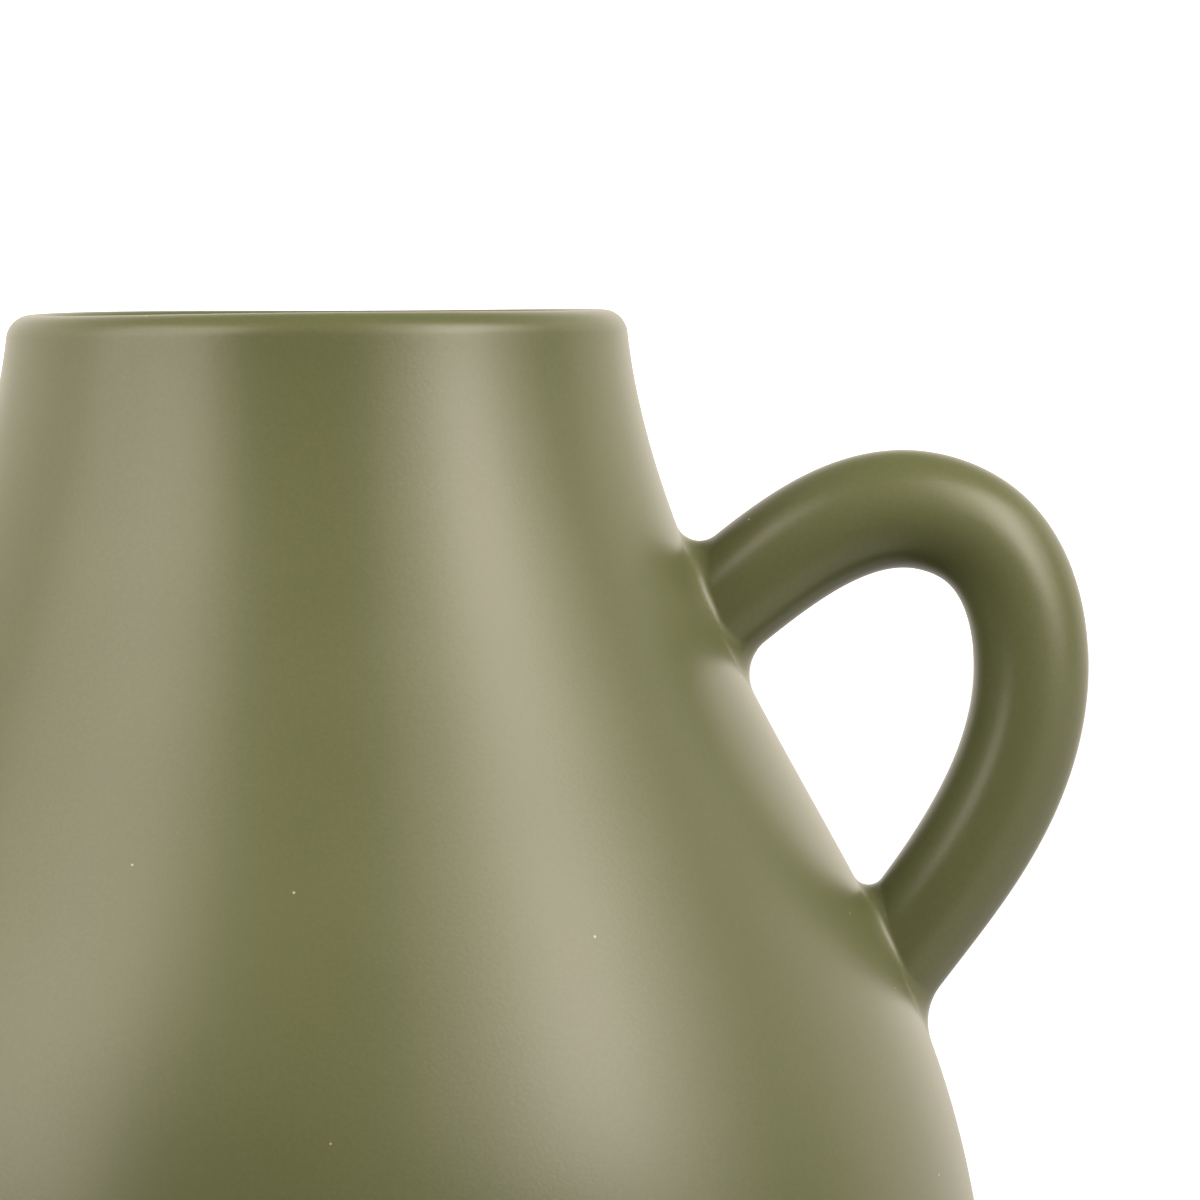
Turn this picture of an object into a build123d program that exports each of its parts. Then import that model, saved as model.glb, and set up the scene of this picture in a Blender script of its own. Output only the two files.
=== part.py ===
from build123d import *
import math
import os

# One-handled stoneware vase of pear shape, in four pieces of clay that are fired together.
# vessel_body is the cast shell: round lip, tapered neck, full belly, foot ring.
# handle is a round roll of clay bent to an ear, with both ends cut to the shoulder's curve.
# upper_slip_joint and lower_slip_joint are the slip that lutes the handle to the shell:
# a thin bed under each end of the handle, wiped out to a fillet all round it.
# The frame stands on the foot: origin on the axis in the foot's plane, +Z up, handle towards +X.

# Shell
total_height = 250.0
wall = 6.0
mouth_radius = 51.6
mouth_taper_deg = 5.6
belly_radius = 112.1
belly_height = 74.0
base_thickness = 6.5

# Foot
foot_radius = 77.0
foot_ring_width = 9.0
foot_recess_depth = 2.5
foot_recess_flare = 1.5
foot_edge_radius = 1.0
foot_undercut_deg = 29.0

# Outline of the shell. Shoulder, from the mouth down to the belly, and tuck, from the belly down
# to the foot: shares of the drop in height beside shares of the change in radius.
shoulder_shares = [(0.170, 0.102), (0.341, 0.317), (0.511, 0.586), (0.682, 0.828), (0.852, 0.963)]
tuck_shares = [(0.36, 0.080), (0.72, 0.392)]

# Handle: its centre line leaves the shell at the upper root, crowns, reaches furthest out and comes
# back at the lower root. Run is the way out from the upper root, rise and drop the way up and down.
# Corner, from the crown to the reach, and elbow, from the reach to the lower root: shares of the
# change in radius beside shares of the drop in height.
handle_diameter = 19.4
upper_root_below_rim = 50.1
upper_arm_rise_deg = 38.2
crown_run = 34.0
crown_rise = 16.8
corner_shares = (0.568, 0.168)
reach_run = 53.1
reach_drop = 9.4
elbow_shares = (0.378, 0.585)
root_spacing = 57.5
lower_arm_fall_deg = 53.0

# Slip joints
slip_bed = 0.4
slip_fillet = 4.8


def heading(angle_deg):
    """Unit vector at that angle in the section plane, from the radius towards the height."""
    angle = math.radians(angle_deg)
    return Vector(math.cos(angle), math.sin(angle))


def smooth_curve(points, start, end):
    """Curve through the points that leaves along start and arrives along end, both of unit length."""
    return Spline(*points, tangents=[start, end], tangent_scalars=[1, 1])


def lip_start_height():
    """Height at which the outline ends and the half-round lip begins."""
    return total_height - wall / 2 * (1 - math.sin(math.radians(mouth_taper_deg)))


def outline_points():
    """Points of the shell's outline, X as radius and Y as height, from the lip to the foot."""
    drop = total_height - belly_height
    growth = belly_radius - mouth_radius
    tuck = belly_radius - foot_radius
    shoulder = [(mouth_radius + g * growth, total_height - d * drop) for d, g in shoulder_shares]
    below = [(belly_radius - t * tuck, belly_height * (1 - d)) for d, t in tuck_shares]
    lip = (mouth_radius, lip_start_height())
    return [Vector(*p) for p in [lip, *shoulder, (belly_radius, belly_height), *below, (foot_radius, 0)]]


def shell_outline():
    """The outside of the shell as one smooth curve, from the lip down to the foot."""
    start = heading(mouth_taper_deg - 90)
    end = heading(180 + foot_undercut_deg)
    return smooth_curve(outline_points(), start, end)


def parallel_outline(outline, distance, points):
    """A curve that runs a distance outside the outline, past those of its points."""
    places = [outline.param_at_point(p) for p in points]
    tangents = [outline % place for place in places]
    moved = [p + Vector(-t.Y, t.X) * distance for p, t in zip(points, tangents)]
    return smooth_curve(moved, tangents[0], tangents[-1])


def floor_arc(start, direction, floor_height):
    """Arc that leaves start in that direction and runs out level at the height of the floor."""
    normal = Vector(direction.Y, -direction.X)
    radius = (start.Y - floor_height) / (1 - normal.Y)
    centre = start + normal * radius
    return TangentArc(start, Vector(centre.X, floor_height), tangent=direction)


def shell_section(outline):
    """Half section of the shell: outline, foot ring, recess, floor, inside wall and lip."""
    inside = parallel_outline(outline, -wall, outline_points()[:-1])
    lip_top = (outline @ 0 + inside @ 0) / 2 - (outline % 0) * (wall / 2)
    lip = ThreePointArc(inside @ 0, lip_top, outline @ 0)
    floor_height = foot_recess_depth + base_thickness
    corner = floor_arc(inside @ 1, inside % 1, floor_height)
    ring_inner = foot_radius - foot_ring_width
    underside = Polyline(
        outline @ 1,
        (ring_inner, 0),
        (ring_inner - foot_recess_flare, foot_recess_depth),
        (0, foot_recess_depth),
        (0, floor_height),
        corner @ 1,
    )
    section = make_face([outline, *underside.edges(), corner, inside, lip])
    ring_edges = [v for v in section.vertices() if v.Y == 0]
    return fillet(ring_edges, foot_edge_radius)


def turned(section):
    """A section drawn in radius and height, turned round the axis with its seam at the back."""
    return revolve(Plane.XZ * section, axis=Axis.Z).rotate(Axis.Z, 180)


def envelope(outline):
    """The solid that fills the shell's outline, as if the vase had no hollow."""
    edge = Polyline(outline @ 1, (0, (outline @ 1).Y), (0, (outline @ 0).Y), outline @ 0)
    return turned(make_face([outline, *edge.edges()]))


def outline_point_at(outline, height):
    """The point of the outline at that height."""
    level = Line((0, height), (2 * belly_radius, height))
    return outline.find_intersection_points(level)[0]


def between(start, end, step_shares):
    """The point that lies those shares of the way from start to end, in radius and in height."""
    across, down = step_shares
    return Vector(start.X + across * (end.X - start.X), start.Y + down * (end.Y - start.Y))


def handle_path(outline):
    """Centre line of the handle in the section plane, with both ends run on inside the shell."""
    upper_root = outline_point_at(outline, total_height - upper_root_below_rim)
    lower_root = outline_point_at(outline, upper_root.Y - root_spacing)
    crown = upper_root + Vector(crown_run, crown_rise)
    reach = upper_root + Vector(reach_run, -reach_drop)
    rise = heading(upper_arm_rise_deg)
    fall = heading(180 + lower_arm_fall_deg)
    loop = [
        upper_root - rise * handle_diameter / 2,
        upper_root,
        crown,
        between(crown, reach, corner_shares),
        reach,
        between(reach, lower_root, elbow_shares),
        lower_root,
        lower_root + fall * handle_diameter / 2,
    ]
    return Plane.XZ * smooth_curve(loop, rise, fall)


def rolled_handle(path):
    """The round roll of clay along the whole path, ends still uncut."""
    end = Plane(origin=path @ 0, x_dir=(0, 1, 0), z_dir=path % 0)
    return sweep(end * Circle(handle_diameter / 2), path=path)


def slip_joints(core, handle, roll):
    """Bed and fillet of slip at each root, lower one first; crumbs left by the cuts don't count."""
    joined = core + roll
    roots = [e for e in joined.edges() if is_root_edge(e)]
    slip = fillet(roots, slip_fillet) - (core + handle)
    return slip.solids().sort_by(SortBy.VOLUME)[-2:].sort_by(Axis.Z)


def is_root_edge(edge):
    """True for a closed edge that doesn't go round the axis: one where the handle meets the shell."""
    return edge.is_closed and edge.bounding_box().min.X > 0


os.makedirs("parts", exist_ok=True)
outline = shell_outline()
core = envelope(outline)
bedded_core = envelope(parallel_outline(outline, slip_bed, outline_points()))
roll = rolled_handle(handle_path(outline))
handle = roll - bedded_core
lower_slip, upper_slip = slip_joints(core, handle, roll)
export_step(turned(shell_section(outline)), "parts/vessel_body.step")
export_step(handle, "parts/handle.step")
export_step(upper_slip, "parts/upper_slip_joint.step")
export_step(lower_slip, "parts/lower_slip_joint.step")
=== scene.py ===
import math

import bpy
import numpy as np
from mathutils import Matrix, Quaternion, Vector


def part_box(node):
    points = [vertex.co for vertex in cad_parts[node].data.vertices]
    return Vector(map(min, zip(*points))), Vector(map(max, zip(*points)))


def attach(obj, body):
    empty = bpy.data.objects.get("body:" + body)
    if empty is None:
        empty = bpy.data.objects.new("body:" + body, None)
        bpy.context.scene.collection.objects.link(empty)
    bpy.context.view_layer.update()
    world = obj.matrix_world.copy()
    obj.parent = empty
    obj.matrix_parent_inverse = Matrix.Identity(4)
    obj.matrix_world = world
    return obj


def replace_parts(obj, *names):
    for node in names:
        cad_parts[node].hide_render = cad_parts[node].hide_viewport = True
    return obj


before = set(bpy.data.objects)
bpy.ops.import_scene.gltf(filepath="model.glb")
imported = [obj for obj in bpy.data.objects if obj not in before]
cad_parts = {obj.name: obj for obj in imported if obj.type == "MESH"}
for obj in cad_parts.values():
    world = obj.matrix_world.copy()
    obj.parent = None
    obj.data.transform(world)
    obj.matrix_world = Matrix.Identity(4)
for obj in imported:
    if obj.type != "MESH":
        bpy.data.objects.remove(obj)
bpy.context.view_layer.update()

# Shell. A cast stoneware body: soft round lip, neck that widens to a full belly, foot ring.
# Cast in a plaster mould, fettled by hand at the rim, then glazed inside and out. The glaze is wiped
# off the foot, where it ends in a thin rounded edge.
mm = 0.001
_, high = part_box("vessel_body")
rim_height = high.z
belly_radius = high.y
wall = 6.0 * mm
lip_rounding = 4.2 * mm
mouth_radius = 51.6 * mm
mouth_taper = math.radians(5.6)
belly_height = 74.0 * mm
base_thickness = 6.5 * mm
foot_radius = 77.0 * mm
foot_ring_width = 9.0 * mm
foot_recess = 2.5 * mm
foot_recess_flare = 1.5 * mm
foot_undercut = math.radians(29.0)
glaze_coat = 0.3 * mm
wiped_outside = 2.4 * mm
# From the mouth down to the belly, and from the belly down to the foot:
# shares of the drop in height beside shares of the change in radius.
shoulder_shares = [(0.170, 0.102), (0.341, 0.317), (0.511, 0.586), (0.682, 0.828), (0.852, 0.963)]
tuck_shares = [(0.36, 0.080), (0.72, 0.392)]
# Waves that fettling by hand left in the rim: how many go round it, how deep in millimetres, and
# at which angle each is highest, in degrees from the handle.
rim_waves = [(1, 0.43, 5), (2, 0.11, -114), (3, 0.115, 72)]
rim_mean_drop = 0.20 * mm
rim_wave_reach = 42.0 * mm
# The glaze runs over the foot's recess and ends half way down its flared side. Steps in millimetres
# from the recess's corner, rounded by the glaze, and from the place where the glaze ends.
recess_rounding = [(-0.5, -0.08), (0.0, -0.35)]
inner_edge_rounding = [(0.05, -0.1), (0.2, -0.15), (0.35, -0.05)]
flat_glaze_short_of_corner = 1.2 * mm
# How finely the shell is drawn: points round it, rows from lip to foot, rows over the lip and the
# cove, rows across a flat, and the fine rows in which the distance to the shell is looked up.
spokes = 240
outline_rows = 177
lip_outer_rows, lip_inner_rows, cove_rows, edge_rows = 18, 12, 18, 6
flat_rows = 8
fine_rows = 3000


def heading(angle):
    """Unit vector at that angle in the section plane, from the radius towards the height."""
    return np.array([math.cos(angle), math.sin(angle)])


def smooth_curve(points, start, end):
    """Curve of cubic stretches through the points, with one slope and one bend at each of them.

    The stretches are as long as the chords between the points, and the slopes at the points solve
    the linear equations that make the bend run on from one stretch to the next. The curve leaves
    along start and arrives along end. Returns a function from shares of the way to places and
    unit headings there.
    """
    knots = np.array(points, float)
    spans = np.linalg.norm(np.diff(knots, axis=0), axis=1)
    lengths = np.concatenate([[0], np.cumsum(spans)])
    inner = np.arange(1, len(knots) - 1)
    system = np.eye(len(knots))
    system[inner, inner - 1] = 1 / spans[:-1]
    system[inner, inner] = 2 / spans[:-1] + 2 / spans[1:]
    system[inner, inner + 1] = 1 / spans[1:]
    climbs = np.diff(knots, axis=0) / spans[:, None] ** 2
    slopes = np.linalg.solve(system, np.vstack([start, 3 * (climbs[:-1] + climbs[1:]), end]))

    def at(shares):
        way = np.asarray(shares, float) * lengths[-1]
        stretch = np.clip(np.searchsorted(lengths, way, side="right") - 1, 0, len(spans) - 1)
        span = spans[stretch][..., None]
        t = (way - lengths[stretch])[..., None] / span
        near, far = knots[stretch], knots[stretch + 1]
        leave, arrive = slopes[stretch] * span, slopes[stretch + 1] * span
        place = near * (1 + 2 * t) * (1 - t) ** 2 + far * t**2 * (3 - 2 * t)
        place = place + leave * t * (1 - t) ** 2 - arrive * t**2 * (1 - t)
        speed = (near - far) * 6 * t * (t - 1) + leave * (1 - t) * (1 - 3 * t) + arrive * t * (3 * t - 2)
        return place, speed / np.linalg.norm(speed, axis=-1, keepdims=True)

    return at


def outward(directions):
    """Normals of an outline that runs down from the lip: each heading turned a quarter to its left."""
    return np.stack([-directions[..., 1], directions[..., 0]], -1)


def arc(centre, radius, first, last, count):
    """Even steps along a circle's arc in the section plane, from one angle to another."""
    angles = np.linspace(first, last, count)[:, None]
    return centre + radius * np.hstack([np.cos(angles), np.sin(angles)])


def skin(name, rings, tips=None):
    """A closed mesh over rings of points, each ring joined to the next by four-sided faces.

    Two tips close the first and last ring with a fan each. With no tips the last ring joins the
    first. Faces are turned round if the volume they enclose comes out negative.
    """
    count, size = rings.shape[:2]
    here = np.arange(count * size).reshape(count, size)
    if tips is None:
        here = np.vstack([here, here[:1]])
    after = np.roll(here, -1, axis=1)
    quads = np.stack([here[:-1], after[:-1], after[1:], here[1:]], -1).reshape(-1, 4)
    points = rings.reshape(-1, 3)
    fans = np.empty((0, 3), int)
    if tips is not None:
        first, last = len(points), len(points) + 1
        points = np.vstack([points, tips])
        opening = np.stack([np.full(size, first), after[0], here[0]], -1)
        closing = np.stack([np.full(size, last), here[-1], after[-1]], -1)
        fans = np.vstack([opening, closing])
    thirds = np.vstack([quads[:, [0, 1, 2]], quads[:, [0, 2, 3]], fans])
    a, b, c = (points[thirds[:, k]] for k in range(3))
    if np.einsum("ij,ij->", a, np.cross(b, c)) < 0:
        quads, fans = quads[:, ::-1], fans[:, ::-1]
    mesh = bpy.data.meshes.new(name)
    mesh.from_pydata(points.tolist(), [], quads.tolist() + fans.tolist())
    mesh.shade_smooth()
    piece = bpy.data.objects.new(name, mesh)
    bpy.context.scene.collection.objects.link(piece)
    return piece


def turned(profile, angles):
    """Rings of a section turned round the axis: x and y from the radius and the angle, z the height."""
    radius, height = profile[:, :1], profile[:, 1:]
    heights = np.broadcast_to(height, (len(profile), len(angles)))
    return np.stack([radius * np.cos(angles), radius * np.sin(angles), heights], -1)


def eased(share):
    """Runs from 0 to 1 with level ends, for shares from 0 to 1."""
    share = np.clip(share, 0, 1)
    return share * share * (3 - 2 * share)


drop = rim_height - belly_height
growth = belly_radius - mouth_radius
tuck = belly_radius - foot_radius
lip_start = rim_height - wall / 2 * (1 - math.sin(mouth_taper))
lip_inner_rounding = (wall - lip_rounding * (1 - math.sin(mouth_taper))) / (1 + math.sin(mouth_taper))
outline_at = smooth_curve(
    [
        (mouth_radius, lip_start),
        *[(mouth_radius + g * growth, rim_height - d * drop) for d, g in shoulder_shares],
        (belly_radius, belly_height),
        *[(belly_radius - t * tuck, belly_height * (1 - d)) for d, t in tuck_shares],
        (foot_radius, 0),
    ],
    heading(mouth_taper - math.pi / 2),
    heading(math.pi + foot_undercut),
)
fine_outline, fine_headings = outline_at(np.linspace(0, 1, fine_rows))
fine_normals = outward(fine_headings)

# The lip: a wide round outside and a tighter one inside, which meet level at the top.
lip_foot = rim_height - lip_rounding * (1 - math.sin(mouth_taper))
below_lip = np.argmax(fine_outline[:, 1] < lip_foot) / len(fine_outline)
places, directions = outline_at(np.linspace(below_lip, 1, outline_rows))
normals = outward(directions)
glazed = places[:, 1] > wiped_outside
outside = places[glazed]
inside_wall = (places - wall * normals)[places[:, 1] > belly_height * (1 - tuck_shares[-1][0])]

lip_centre = places[0] - lip_rounding * normals[0]
lip_inner_centre = lip_centre + np.array([0, lip_rounding - lip_inner_rounding])
lip_tilt = math.atan2(normals[0][1], normals[0][0])
lip = np.vstack(
    [arc(lip_centre, lip_rounding, lip_tilt, math.pi / 2, lip_outer_rows)[1:],
     arc(lip_inner_centre, lip_inner_rounding, math.pi / 2, math.pi + lip_tilt, lip_inner_rows)[1:]]
)

# The cove inside touches the wall where it starts and runs out level with the floor.
floor_height = foot_recess + base_thickness
tangent = inside_wall[-1] - inside_wall[-2]
tangent = tangent / np.linalg.norm(tangent)
inward = np.array([tangent[1], -tangent[0]])
cove_radius = (inside_wall[-1][1] - floor_height) / (1 - inward[1])
cove_centre = inside_wall[-1] + inward * cove_radius
cove_start = math.atan2(-inward[1], -inward[0])
cove = arc(cove_centre, cove_radius, cove_start, -math.pi / 2, cove_rows)[1:]
floor_radii = np.linspace(cove[-1][0], 0, flat_rows + 2)[1:-1]
floor = np.stack([floor_radii, np.full(flat_rows, floor_height)], -1)

# Underneath, the glaze ends above the bare foot in a round edge as thick as the coat.
edge_normal = normals[glazed][-1]
edge_angle = math.atan2(edge_normal[1], edge_normal[0])
edge_centre = outside[-1] - glaze_coat * edge_normal
edge = arc(edge_centre, glaze_coat, edge_angle, edge_angle - math.pi / 2, edge_rows)[1:]
ring_inner = foot_radius - foot_ring_width
recess_corner = np.array([ring_inner - foot_recess_flare, foot_recess])
inner_wall = recess_corner + np.array([foot_recess_flare, -foot_recess]) / 2
underside_radii = np.linspace(0, recess_corner[0] - flat_glaze_short_of_corner, flat_rows + 1)[1:]
underside = np.stack([underside_radii, np.full(flat_rows, foot_recess)], -1)
corner_glaze = recess_corner + np.array(recess_rounding) * mm
inner_edge = inner_wall + np.array(inner_edge_rounding) * mm
profile = np.vstack(
    [underside, corner_glaze, inner_wall, inner_edge, edge[::-1], outside[::-1], lip, inside_wall,
     cove, floor]
)
angles = np.linspace(0, 2 * math.pi, spokes, endpoint=False)
rings = turned(profile, angles)
wave = -rim_mean_drop + sum(
    depth * mm * np.cos(times * angles - math.radians(peak)) for times, depth, peak in rim_waves
)
near_rim = eased(1 - (rim_height - rings[..., 2]) / rim_wave_reach)
rings[..., 2] += near_rim * wave
shell = skin("glazed_shell", rings, [(0, 0, foot_recess), (0, 0, floor_height)])


def linear(code):
    """Linear red, green, blue and an alpha of 1 from an sRGB hex colour."""
    steps = [int(code[k : k + 2], 16) / 255 for k in (1, 3, 5)]
    return [*[s / 12.92 if s <= 0.04045 else ((s + 0.055) / 1.055) ** 2.4 for s in steps], 1.0]


def node(tree, kind, settings=None, **links):
    """Adds a node. Settings are its properties or input values, links are inputs fed by an output.

    A link is named for its input, with _ for a space, or i and its number where the name isn't
    the only one on the node.
    """
    made = tree.nodes.new(kind)
    for name, value in (settings or {}).items():
        if name in made.inputs:
            made.inputs[name].default_value = value
        else:
            setattr(made, name, value)
    for name, output in links.items():
        numbered = name[0] == "i" and name[1:].isdigit()
        wanted = int(name[1:]) if numbered else name.replace("_", " ")
        tree.links.new(output, made.inputs[wanted])
    return made


def new_material(name):
    """An empty node material and its tree."""
    material = bpy.data.materials.new(name)
    material.use_nodes = True
    material.node_tree.nodes.clear()
    return material, material.node_tree


def per_metre(size):
    """Texture scale that gives features of that size, since Object coordinates are in metres."""
    return 1 / size


# Satin olive glaze: a coloured stoneware glaze, sprayed on and fired to a satin. It is a glass with
# fine crystals in it, so the light on it is broad and soft. Its colour drifts a little with the
# thickness of the coat, it has a fine eggshell grain, and a few pale specks have come through.
# Specks: how far apart, the radii of their solid middle and of their soft edge, and the share of
# places where none came through.
glaze, tree = new_material("satin_olive_glaze")
drift_size = 38 * mm
grain_size = 0.7 * mm
grain_relief = 0.022 * mm
speck_spacing = 8 * mm
speck_radii = (0.176 * mm, 0.272 * mm)
speckless = 0.7
place = node(tree, "ShaderNodeTexCoord").outputs["Object"]
drift = node(
    tree, "ShaderNodeTexNoise", {"Scale": per_metre(drift_size), "Detail": 2.0, "Roughness": 0.45},
    Vector=place,
)
grain = node(
    tree, "ShaderNodeTexNoise", {"Scale": per_metre(grain_size), "Detail": 4.0, "Roughness": 0.6},
    Vector=place,
)
depth = node(
    tree, "ShaderNodeMapRange",
    {"clamp": False, "From Min": 0.3, "From Max": 0.7, "To Min": -1.3, "To Max": -0.3},
    Value=drift.outputs["Fac"],
)
mottle = node(
    tree, "ShaderNodeMath", {"operation": "MULTIPLY_ADD", "use_clamp": True},
    i0=grain.outputs["Fac"], i2=depth.outputs["Result"],
)
mottle.inputs[1].default_value = 2.6
tone = node(tree, "ShaderNodeMix", {"data_type": "RGBA"}, Factor=mottle.outputs[0])
tone.inputs[6].default_value = linear("#686E49")
tone.inputs[7].default_value = linear("#6E744F")
specks = node(
    tree, "ShaderNodeTexVoronoi", {"feature": "F1", "Scale": per_metre(speck_spacing)}, Vector=place
)
speck_size = node(
    tree, "ShaderNodeMapRange",
    {"From Min": speck_radii[0] / speck_spacing, "From Max": speck_radii[1] / speck_spacing,
     "To Min": 1.0, "To Max": 0.0},
    Value=specks.outputs["Distance"],
)
speck_colour = node(tree, "ShaderNodeSeparateColor", Color=specks.outputs["Color"])
pale = node(tree, "ShaderNodeMath", {"operation": "GREATER_THAN"}, i0=speck_colour.outputs[0])
pale.inputs[1].default_value = speckless
pale_speck = node(
    tree, "ShaderNodeMath", {"operation": "MULTIPLY"}, i0=pale.outputs[0], i1=speck_size.outputs[0]
)
speckled = node(
    tree, "ShaderNodeMix", {"data_type": "RGBA"}, Factor=pale_speck.outputs[0], i6=tone.outputs[2]
)
speckled.inputs[7].default_value = linear("#C9C6AC")
gloss = node(
    tree, "ShaderNodeMapRange", {"From Min": 0.3, "From Max": 0.7, "To Min": 0.31, "To Max": 0.35},
    Value=grain.outputs["Fac"],
)
relief = node(
    tree, "ShaderNodeBump", {"Strength": 1.0, "Distance": grain_relief}, Height=grain.outputs["Fac"]
)
coat = node(
    tree, "ShaderNodeBsdfPrincipled", {"IOR": 1.55},
    Base_Color=speckled.outputs[2], Roughness=gloss.outputs["Result"], Normal=relief.outputs["Normal"],
)
node(tree, "ShaderNodeOutputMaterial", Surface=coat.outputs["BSDF"])

shell.data.materials.append(glaze)
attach(shell, "root")
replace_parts(shell, "vessel_body")

# Foot ring. The bare ring of the same stoneware that the vase stands on, wiped clean of glaze.
# It is the shell's own clay, buff and sandy, with its two edges rubbed round after the firing.
# The ring reaches up behind the edge of the glaze, and only its lower part shows.
bare_top = 3.6 * mm
bare_rounding = 1.0 * mm
bare_flare = 0.9 * mm
hidden_rounding = 0.3 * mm
corner_rows = 7
clay_places = places - glaze_coat * normals
clay_low = clay_places[np.argmin(abs(clay_places[:, 1]))]
clay_high = clay_places[np.argmin(abs(clay_places[:, 1] - bare_top))]


def rounded(corners, radii, steps):
    """Section with its corners cut back to arcs that touch both sides."""
    parts = []
    for k, corner in enumerate(corners):
        radius = radii[k]
        before, after = corners[k - 1] - corner, corners[(k + 1) % len(corners)] - corner
        before, after = before / np.linalg.norm(before), after / np.linalg.norm(after)
        half = math.acos(np.clip(before @ after, -1, 1)) / 2
        middle = (before + after) / np.linalg.norm(before + after)
        centre = corner + middle * radius / math.sin(half)
        first, last = (corner + side * radius / math.tan(half) - centre for side in (before, after))
        turn = math.acos(np.clip(first @ last / (first @ first), -1, 1))
        share = np.linspace(0, 1, steps)[:, None]
        swing = first * np.sin((1 - share) * turn) + last * np.sin(share * turn)
        parts.append(centre + swing / math.sin(turn))
    return np.vstack(parts)


ring_corners = [clay_low, (ring_inner + glaze_coat, 0), (ring_inner - bare_flare, bare_top), clay_high]
ring_roundings = [bare_rounding, bare_rounding, hidden_rounding, hidden_rounding]
ring_section = rounded(np.array(ring_corners), ring_roundings, corner_rows)
foot_ring = skin("bare_foot_ring", turned(ring_section, angles))

# Bare stoneware: unglazed fired clay, dry and matt, buff with a sandy grain and small iron spots.
bare_clay, tree = new_material("bare_buff_stoneware")
sand_size = 0.45 * mm
sand_relief = 0.08 * mm
iron_spacing = 2.2 * mm
iron_radii = (0.132 * mm, 0.264 * mm)
place = node(tree, "ShaderNodeTexCoord").outputs["Object"]
sand = node(
    tree, "ShaderNodeTexNoise", {"Scale": per_metre(sand_size), "Detail": 4.0, "Roughness": 0.6},
    Vector=place,
)
iron = node(tree, "ShaderNodeTexVoronoi", {"Scale": per_metre(iron_spacing)}, Vector=place)
body_tone = node(tree, "ShaderNodeMix", {"data_type": "RGBA"}, Factor=sand.outputs["Fac"])
body_tone.inputs[6].default_value = linear("#B8A88A")
body_tone.inputs[7].default_value = linear("#D2C4A8")
spot = node(
    tree, "ShaderNodeMapRange",
    {"From Min": iron_radii[0] / iron_spacing, "From Max": iron_radii[1] / iron_spacing,
     "To Min": 0.7, "To Max": 0.0},
    Value=iron.outputs["Distance"],
)
spotted = node(
    tree, "ShaderNodeMix", {"data_type": "RGBA"}, Factor=spot.outputs["Result"], i6=body_tone.outputs[2]
)
spotted.inputs[7].default_value = linear("#6E5238")
grit = node(
    tree, "ShaderNodeBump", {"Strength": 0.5, "Distance": sand_relief}, Height=sand.outputs["Fac"]
)
clay = node(
    tree, "ShaderNodeBsdfPrincipled", {"IOR": 1.5, "Roughness": 0.85},
    Base_Color=spotted.outputs[2], Normal=grit.outputs["Normal"],
)
node(tree, "ShaderNodeOutputMaterial", Surface=clay.outputs["BSDF"])

foot_ring.data.materials.append(bare_clay)
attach(foot_ring, "root")
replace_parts(foot_ring, "vessel_body")

# Handle. A round roll of the same clay bent to an ear, both ends cut to the curve of the shoulder
# and luted on while leather hard. Glazed with the shell.
# Corner and elbow are shares of the change in radius beside shares of the drop in height.
handle_radius = 9.7 * mm
upper_root_below_rim = 50.1 * mm
upper_arm_rise = math.radians(38.2)
crown_run = 34.0 * mm
crown_rise = 16.8 * mm
corner_shares = (0.568, 0.168)
reach_run = 53.1 * mm
reach_drop = 9.4 * mm
elbow_shares = (0.378, 0.585)
root_spacing = 57.5 * mm
lower_arm_fall = math.radians(53.0)
# The clay was rolled by eye: shares of the way along the centre line, and the radius there in
# millimetres.
radius_shares = [
    (0.0, 9.56), (0.08, 9.56), (0.3, 9.86), (0.5, 9.6), (0.7, 9.6), (0.92, 9.35), (1.0, 9.35),
]
buried = 0.8 * mm
# Shares of the centre line between which each root lies, the buried end first.
around_upper_root = (0.0, 0.3)
around_lower_root = (1.0, 0.7)
handle_spokes = 96
handle_rows = 300
halvings = 32


def outline_point(height):
    """The point of the shell's outline at that height."""
    return np.array([np.interp(-height, -fine_outline[:, 1], fine_outline[:, 0]), height])


def between(start, end, shares):
    """The point that lies those shares of the way from start to end, in radius and in height."""
    return start + np.array(shares) * (end - start)


upper_root = outline_point(rim_height - upper_root_below_rim)
lower_root = outline_point(upper_root[1] - root_spacing)
crown = upper_root + np.array([crown_run, crown_rise])
reach = upper_root + np.array([reach_run, -reach_drop])
rise = heading(upper_arm_rise)
fall = heading(math.pi + lower_arm_fall)
path_at = smooth_curve(
    [
        upper_root - rise * handle_radius,
        upper_root,
        crown,
        between(crown, reach, corner_shares),
        reach,
        between(reach, lower_root, elbow_shares),
        lower_root,
        lower_root + fall * handle_radius,
    ],
    rise,
    fall,
)


def round_path(shares, turns, distance):
    """Points at a distance from the handle's centre line, and the directions out to them.

    At each share of the way the direction is the outer side of the bend turned by the angle round
    the line, which lies in the plane of x and z: cosine along the outer side, sine along y.
    """
    spot, along = path_at(shares)
    outer = outward(along)
    out = np.stack([outer[..., 0] * np.cos(turns), np.sin(turns), outer[..., 1] * np.cos(turns)], -1)
    middle = np.stack([spot[..., 0], np.zeros_like(turns), spot[..., 1]], -1)
    return middle + np.asarray(distance)[..., None] * out, out


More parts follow.
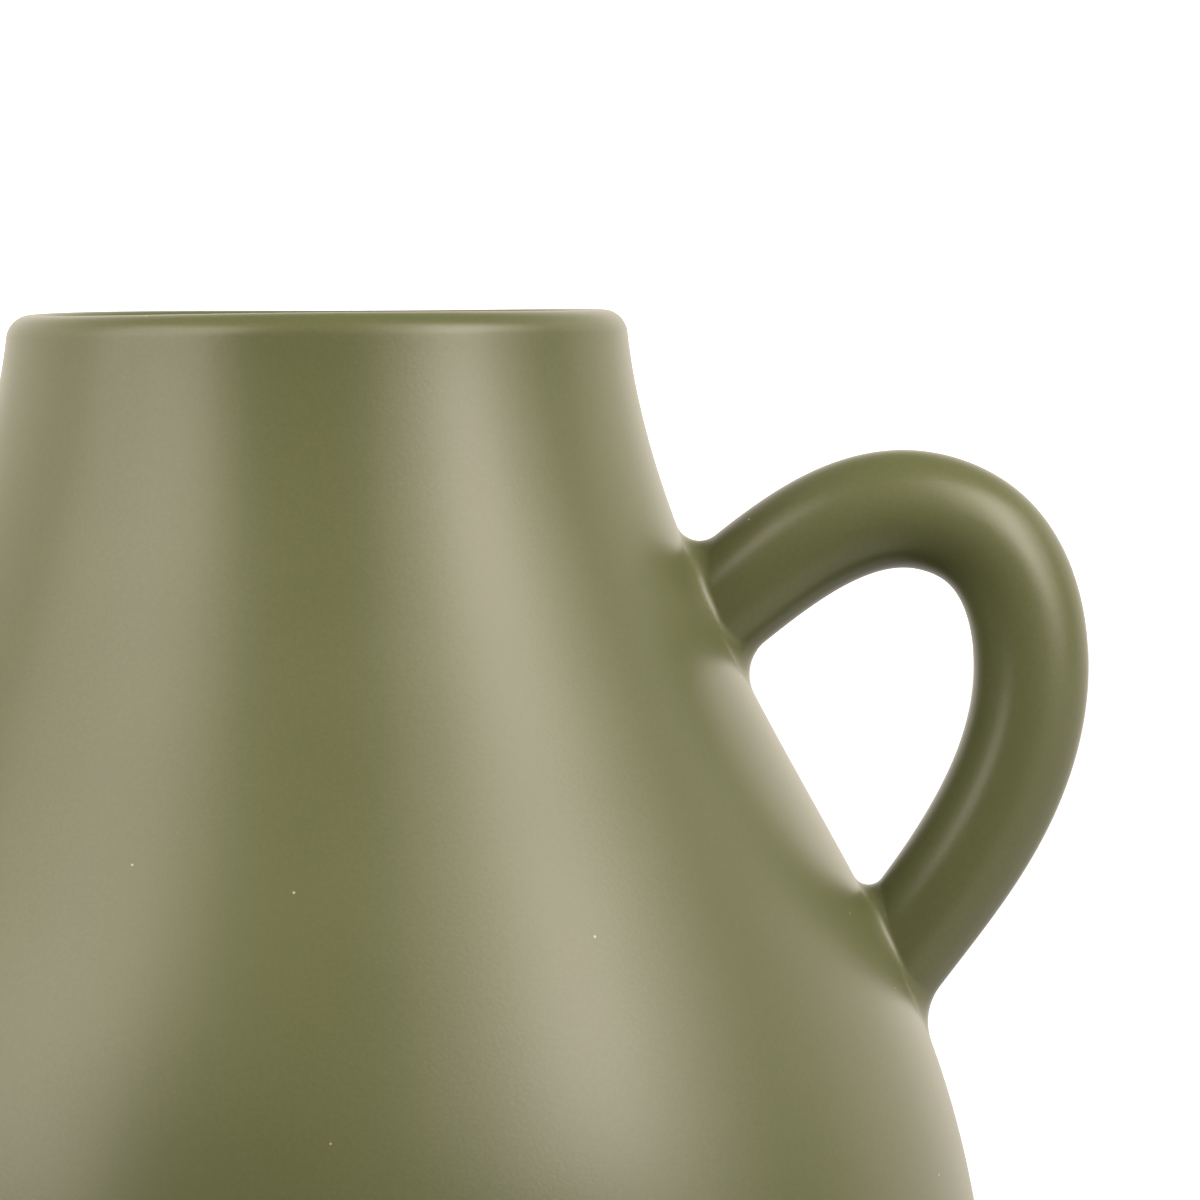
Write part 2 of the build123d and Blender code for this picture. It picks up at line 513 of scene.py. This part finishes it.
def from_shell(points):
    """Distance of points from the outside of the shell, outwards positive, and its normals there.

    The nearest of the fine outline's points is taken, and the distance is read along its normal.
    """
    radius = np.hypot(points[..., 0], points[..., 1])
    here = np.stack([radius, points[..., 2]], -1)
    nearest = ((here[..., None, :] - fine_outline) ** 2).sum(-1).argmin(-1)
    normal = fine_normals[nearest]
    distance = ((here - fine_outline[nearest]) * normal).sum(-1)
    side = normal[..., :1] * points[..., :2] / radius[..., None]
    return distance, np.concatenate([side, normal[..., 1:]], -1)


def roll_radius(shares):
    """Radius of the roll at those shares of its way, eased from one measured place to the next."""
    places_along, radii = np.array(radius_shares).T
    stretch = np.clip(np.searchsorted(places_along, shares, side="right") - 1, 0, len(radii) - 2)
    start, end = places_along[stretch], places_along[stretch + 1]
    way = eased((shares - start) / (end - start))
    return (radii[stretch] + (radii[stretch + 1] - radii[stretch]) * way) * mm


def share_where(turns, beyond_roll, wanted, buried_end, free_end):
    """Share of the path at which a point at each turn, that far out of the roll, has the wanted
    distance from the shell. Found for all turns at once, by halving between a buried share and a
    free one.
    """
    inner = np.full(turns.shape, float(buried_end))
    outer = np.full(turns.shape, float(free_end))
    for _ in range(halvings):
        middle = (inner + outer) / 2
        points, _ = round_path(middle, turns, roll_radius(middle) + beyond_roll)
        distance, _ = from_shell(points)
        beyond = distance > wanted
        outer = np.where(beyond, middle, outer)
        inner = np.where(beyond, inner, middle)
    return (inner + outer) / 2


turns = np.linspace(0, 2 * math.pi, handle_spokes, endpoint=False)
first = share_where(turns, 0.0, -buried, *around_upper_root)
last = share_where(turns, 0.0, -buried, *around_lower_root)
rows = np.linspace(0, 1, handle_rows)[:, None]
shares = first + rows * (last - first)
handle_rings, _ = round_path(shares, np.broadcast_to(turns, shares.shape), roll_radius(shares))
tips, _ = round_path(np.array([first.mean(), last.mean()]), np.zeros(2), 0.0)
handle = skin("rolled_handle", handle_rings, tips)
handle.data.materials.append(glaze)
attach(handle, "root")
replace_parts(handle, "handle")

# Slip joints. Wet slip luted each end of the handle to the shell and was wiped out to a fillet with
# a finger: wide above and below, tight and crisp at the two sides. Glazed over.
upper_fillet = {"outer": 4.1 * mm, "inner": 7.0 * mm, "side": 2.0 * mm}
lower_fillet = {"outer": 9.8 * mm, "inner": 2.75 * mm, "side": 1.7 * mm}
fillet_spokes = 160
fillet_steps = 28
# The row that closes each fillet lies that share of the way from the ball's middle to the place
# where handle and shell would meet, so it is inside the clay.
past_corner = 1.15
fillet_turns = np.linspace(0, 2 * math.pi, fillet_spokes, endpoint=False)


def wiped_slip(name, radii, buried_end, free_end):
    """Fillet left by a ball that rolls round the root and touches both the handle and the shell.

    The ball's radius changes with the angle round the handle: the side radius, plus what the outer
    or inner radius adds to it times the third power of the cosine. Each section is the arc of the
    ball between the two places where it touches. A last row behind the arcs closes the ring in the
    clay. The shading normals are the true ones of the arcs, across times around.
    """
    lean = np.cos(fillet_turns)
    wide = np.where(lean > 0, radii["outer"], radii["inner"])
    ball = radii["side"] + (wide - radii["side"]) * abs(lean) ** 3
    share = share_where(fillet_turns, ball, ball, buried_end, free_end)
    centre, out = round_path(share, fillet_turns, roll_radius(share) + ball)
    _, normal = from_shell(centre)
    opening = np.arccos(np.clip((out * normal).sum(-1), -1, 1))[:, None]
    step = np.linspace(0, 1, fillet_steps)[:, None, None]
    facing = (out * np.sin((1 - step) * opening) + normal * np.sin(step * opening)) / np.sin(opening)
    arcs = centre - ball[:, None] * facing
    behind = centre - past_corner * ball[:, None] * (out + normal) / (1 + np.cos(opening))
    piece = skin(name, np.concatenate([arcs, behind[None]]))
    around = np.roll(arcs, -1, axis=1) - np.roll(arcs, 1, axis=1)
    across = np.gradient(arcs, axis=0, edge_order=2)
    shading = np.cross(around, across)
    shading /= np.linalg.norm(shading, axis=-1, keepdims=True)
    shading *= np.sign((shading * facing).sum(-1, keepdims=True))
    hidden = -(out + normal) / np.linalg.norm(out + normal, axis=-1, keepdims=True)
    every = np.concatenate([shading, hidden[None]]).reshape(-1, 3)
    piece.data.normals_split_custom_set_from_vertices(every.tolist())
    piece.data.materials.append(glaze)
    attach(piece, "root")
    return piece


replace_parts(wiped_slip("upper_slip", upper_fillet, *around_upper_root), "upper_slip_joint")
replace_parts(wiped_slip("lower_slip", lower_fillet, *around_lower_root), "lower_slip_joint")

# Floor and light. White paper on the floor, a white wall that stands round behind the vase and is
# brightest straight behind it, a window's dim light at the right, and two soft boxes in front. Each
# box has a brighter core. The right one is the stronger, and its top leans away from the camera.
floor_size = 8.0
wall_heading = (-0.367, 0.93, 0)
behind_heading = (0.087, 0.996, 0)
window_heading = (0.995, -0.1, 0)
# Cosines to those headings at which each light begins and is full.
wall_edge = (-0.284, 0.216)
behind_edge = (0.5, 0.97)
window_edge_on_floor = (0.4, 1.0)
window_edge_in_room = (0.2, 0.9)
# Strengths: of the wall at eye level, of its part behind beside that, of the window, of the rest.
wall_level = 1.28
behind_level = 1.32
window_level = 0.36
room_level = 0.03
white, warm_white = "#FFFFFF", "#FFF3E8"
paper_to_camera, paper_to_object = "#AEB6BE", "#3E3E3C"
floor_mesh = bpy.data.meshes.new("floor")
corners = floor_size / 2 * np.array([(-1, -1, 0), (1, -1, 0), (1, 1, 0), (-1, 1, 0)])
floor_mesh.from_pydata(corners.tolist(), [], [(0, 1, 2, 3)])
stage_floor = bpy.data.objects.new("floor", floor_mesh)
bpy.context.scene.collection.objects.link(stage_floor)


def toward(tree, direction, heading_there, edge, top):
    """Runs from 0 to the top value as the direction turns to a heading, by the cosine between them."""
    cosine = node(tree, "ShaderNodeVectorMath", {"operation": "DOT_PRODUCT"}, i0=direction)
    cosine.inputs[1].default_value = heading_there
    begins, is_full = edge
    return node(
        tree, "ShaderNodeMapRange",
        {"interpolation_type": "SMOOTHSTEP", "From Min": begins, "From Max": is_full, "To Max": top},
        Value=cosine.outputs["Value"],
    ).outputs["Result"]


def from_wall(tree, direction):
    """Light of the wall by direction: even from the left round to the back, brightest behind."""
    even = toward(tree, direction, wall_heading, wall_edge, 1.0)
    behind = toward(tree, direction, behind_heading, behind_edge, behind_level)
    return node(tree, "ShaderNodeMath", {"operation": "MAXIMUM"}, i0=even, i1=behind).outputs[0]


def by_ray(tree, seen, to_camera, to_others):
    """One colour for the rays of the camera, another one for all others."""
    mixed = node(tree, "ShaderNodeMix", {"data_type": "RGBA"}, Factor=seen.outputs["Is Camera Ray"])
    mixed.inputs[6].default_value = linear(to_others)
    mixed.inputs[7].default_value = linear(to_camera)
    return mixed.outputs[2]


def mirrored_rays(tree, seen):
    """1 for the rays that gloss and glass send out, 0 for all others."""
    return node(
        tree, "ShaderNodeMath", {"operation": "MAXIMUM"},
        i0=seen.outputs["Is Glossy Ray"], i1=seen.outputs["Is Transmission Ray"],
    ).outputs[0]


# White paper: matt, and lit from below where the camera or gloss sees it, so that it joins the white
# behind it. Near the vase it is less lit, which keeps the shadow. It throws little light back on the
# vase, because the photographed one gets hardly any from below.
paper, tree = new_material("white_paper_floor")
seen = node(tree, "ShaderNodeLightPath")
where_on_floor = node(tree, "ShaderNodeTexCoord").outputs["Object"]
away = node(tree, "ShaderNodeVectorMath", {"operation": "LENGTH"}, i0=where_on_floor)
way_out = node(
    tree, "ShaderNodeVectorMath", {"operation": "NORMALIZE"}, i0=where_on_floor
).outputs["Vector"]
lift = node(
    tree, "ShaderNodeMapRange", {"From Min": 0.2, "From Max": 0.9, "To Min": 0.3, "To Max": 1.0},
    Value=away.outputs["Value"],
)
lifted = node(
    tree, "ShaderNodeMath", {"operation": "MULTIPLY"},
    i0=lift.outputs["Result"], i1=seen.outputs["Is Camera Ray"],
)
far = node(
    tree, "ShaderNodeMapRange", {"From Min": 0.2, "From Max": 1.0, "To Min": 0.6, "To Max": 1.05},
    Value=away.outputs["Value"],
)
beneath_wall = node(
    tree, "ShaderNodeMath", {"operation": "MULTIPLY"},
    i0=far.outputs["Result"], i1=from_wall(tree, way_out),
)
beneath_both = node(
    tree, "ShaderNodeMath", {"operation": "MAXIMUM"}, i0=beneath_wall.outputs[0],
    i1=toward(tree, way_out, window_heading, window_edge_on_floor, 1.0),
)
glow = node(
    tree, "ShaderNodeMath", {"operation": "MULTIPLY_ADD"}, i0=mirrored_rays(tree, seen),
    i1=beneath_both.outputs[0], i2=lifted.outputs[0],
)
matt = node(
    tree, "ShaderNodeBsdfDiffuse", Color=by_ray(tree, seen, paper_to_camera, paper_to_object)
)
shine = node(
    tree, "ShaderNodeEmission", Color=by_ray(tree, seen, white, warm_white), Strength=glow.outputs[0]
)
both = node(tree, "ShaderNodeAddShader", i0=matt.outputs[0], i1=shine.outputs[0])
node(tree, "ShaderNodeOutputMaterial", Surface=both.outputs[0])
floor_mesh.materials.append(paper)

# The room: the wall's light fades upwards to a dim ceiling. Gloss also mirrors the window's side,
# and the camera sees plain white.
world = bpy.data.worlds.new("studio")
bpy.context.scene.world = world
world.use_nodes = True
tree = world.node_tree
tree.nodes.clear()
seen = node(tree, "ShaderNodeLightPath")
direction = node(tree, "ShaderNodeTexCoord").outputs["Generated"]
height = node(tree, "ShaderNodeSeparateXYZ", Vector=direction).outputs["Z"]
wall_top = node(
    tree, "ShaderNodeMapRange",
    {"interpolation_type": "SMOOTHSTEP", "From Min": 0.35, "From Max": 0.95, "To Min": wall_level,
     "To Max": 0.0},
    Value=height,
)
level = node(
    tree, "ShaderNodeMath", {"operation": "MULTIPLY"},
    i0=from_wall(tree, direction), i1=wall_top.outputs["Result"],
)
room = node(tree, "ShaderNodeMath", {"operation": "MAXIMUM"}, i0=level.outputs[0])
room.inputs[1].default_value = room_level
wall_or_side = node(
    tree, "ShaderNodeMath", {"operation": "MAXIMUM"}, i0=level.outputs[0],
    i1=toward(tree, direction, window_heading, window_edge_in_room, window_level),
)
mirrored = node(
    tree, "ShaderNodeMath", {"operation": "MULTIPLY"},
    i0=mirrored_rays(tree, seen), i1=wall_or_side.outputs[0],
)
in_view = node(
    tree, "ShaderNodeMath", {"operation": "MAXIMUM"},
    i0=mirrored.outputs[0], i1=seen.outputs["Is Camera Ray"],
)
strength = node(
    tree, "ShaderNodeMath", {"operation": "MAXIMUM"}, i0=room.outputs[0], i1=in_view.outputs[0]
)
sky = node(
    tree, "ShaderNodeBackground",
    Color=by_ray(tree, seen, white, warm_white), Strength=strength.outputs[0],
)
node(tree, "ShaderNodeOutputWorld", Surface=sky.outputs[0])


def soft_box(name, azimuth, elevation, lean, distance, width, height, radiance):
    """A rectangular lamp of even radiance that faces a point inside the vase. The azimuth turns from
    the camera to the handle, and the lamp's top leans that way. Angles are in degrees. Its power is
    the radiance times pi times its area.
    """
    azimuth, elevation, lean = (math.radians(angle) for angle in (azimuth, elevation, lean))
    middle = Vector((0, 0, rim_height * 0.6))
    lamp = bpy.data.lights.new(name, "AREA")
    lamp.shape = "RECTANGLE"
    lamp.size, lamp.size_y = width, height
    lamp.energy = radiance * math.pi * width * height
    lamp.color = linear(warm_white)[:3]
    box = bpy.data.objects.new(name, lamp)
    flat = distance * math.cos(elevation)
    box.location = middle + Vector(
        (flat * math.sin(azimuth), -flat * math.cos(azimuth), distance * math.sin(elevation))
    )
    facing = (middle - box.location).to_track_quat("-Z", "Y")
    box.rotation_euler = (facing @ Quaternion((0, 0, 1), -lean)).to_euler()
    box.visible_camera = False
    bpy.context.scene.collection.objects.link(box)


soft_box("soft_box_right", 56.6, 34.0, 23.0, 0.7, 0.66, 0.64, 2.4)
soft_box("soft_box_right_core", 56.4, 32.5, 23.0, 0.69, 0.27, 0.46, 4.65)
soft_box("soft_box_left", -59.0, 32.0, 0.0, 0.7, 0.60, 0.69, 2.4)
soft_box("soft_box_left_core", -47.5, 32.0, 0.0, 0.69, 0.31, 0.55, 1.75)

# Camera. A long lens, level with the rim and a little above it, square to the handle's plane.
beside_axis = 0.0471
camera = bpy.data.objects.new("camera", bpy.data.cameras.new("camera"))
camera.data.lens = 234
camera.data.sensor_width = 36
camera.location = (beside_axis, -1.3, 0.256)
aim = Vector((beside_axis, 0, 0.2016))
camera.rotation_euler = (aim - camera.location).to_track_quat("-Z", "Y").to_euler()
bpy.context.scene.collection.objects.link(camera)
bpy.context.scene.camera = camera
bpy.context.scene.view_settings.view_transform = "Standard"
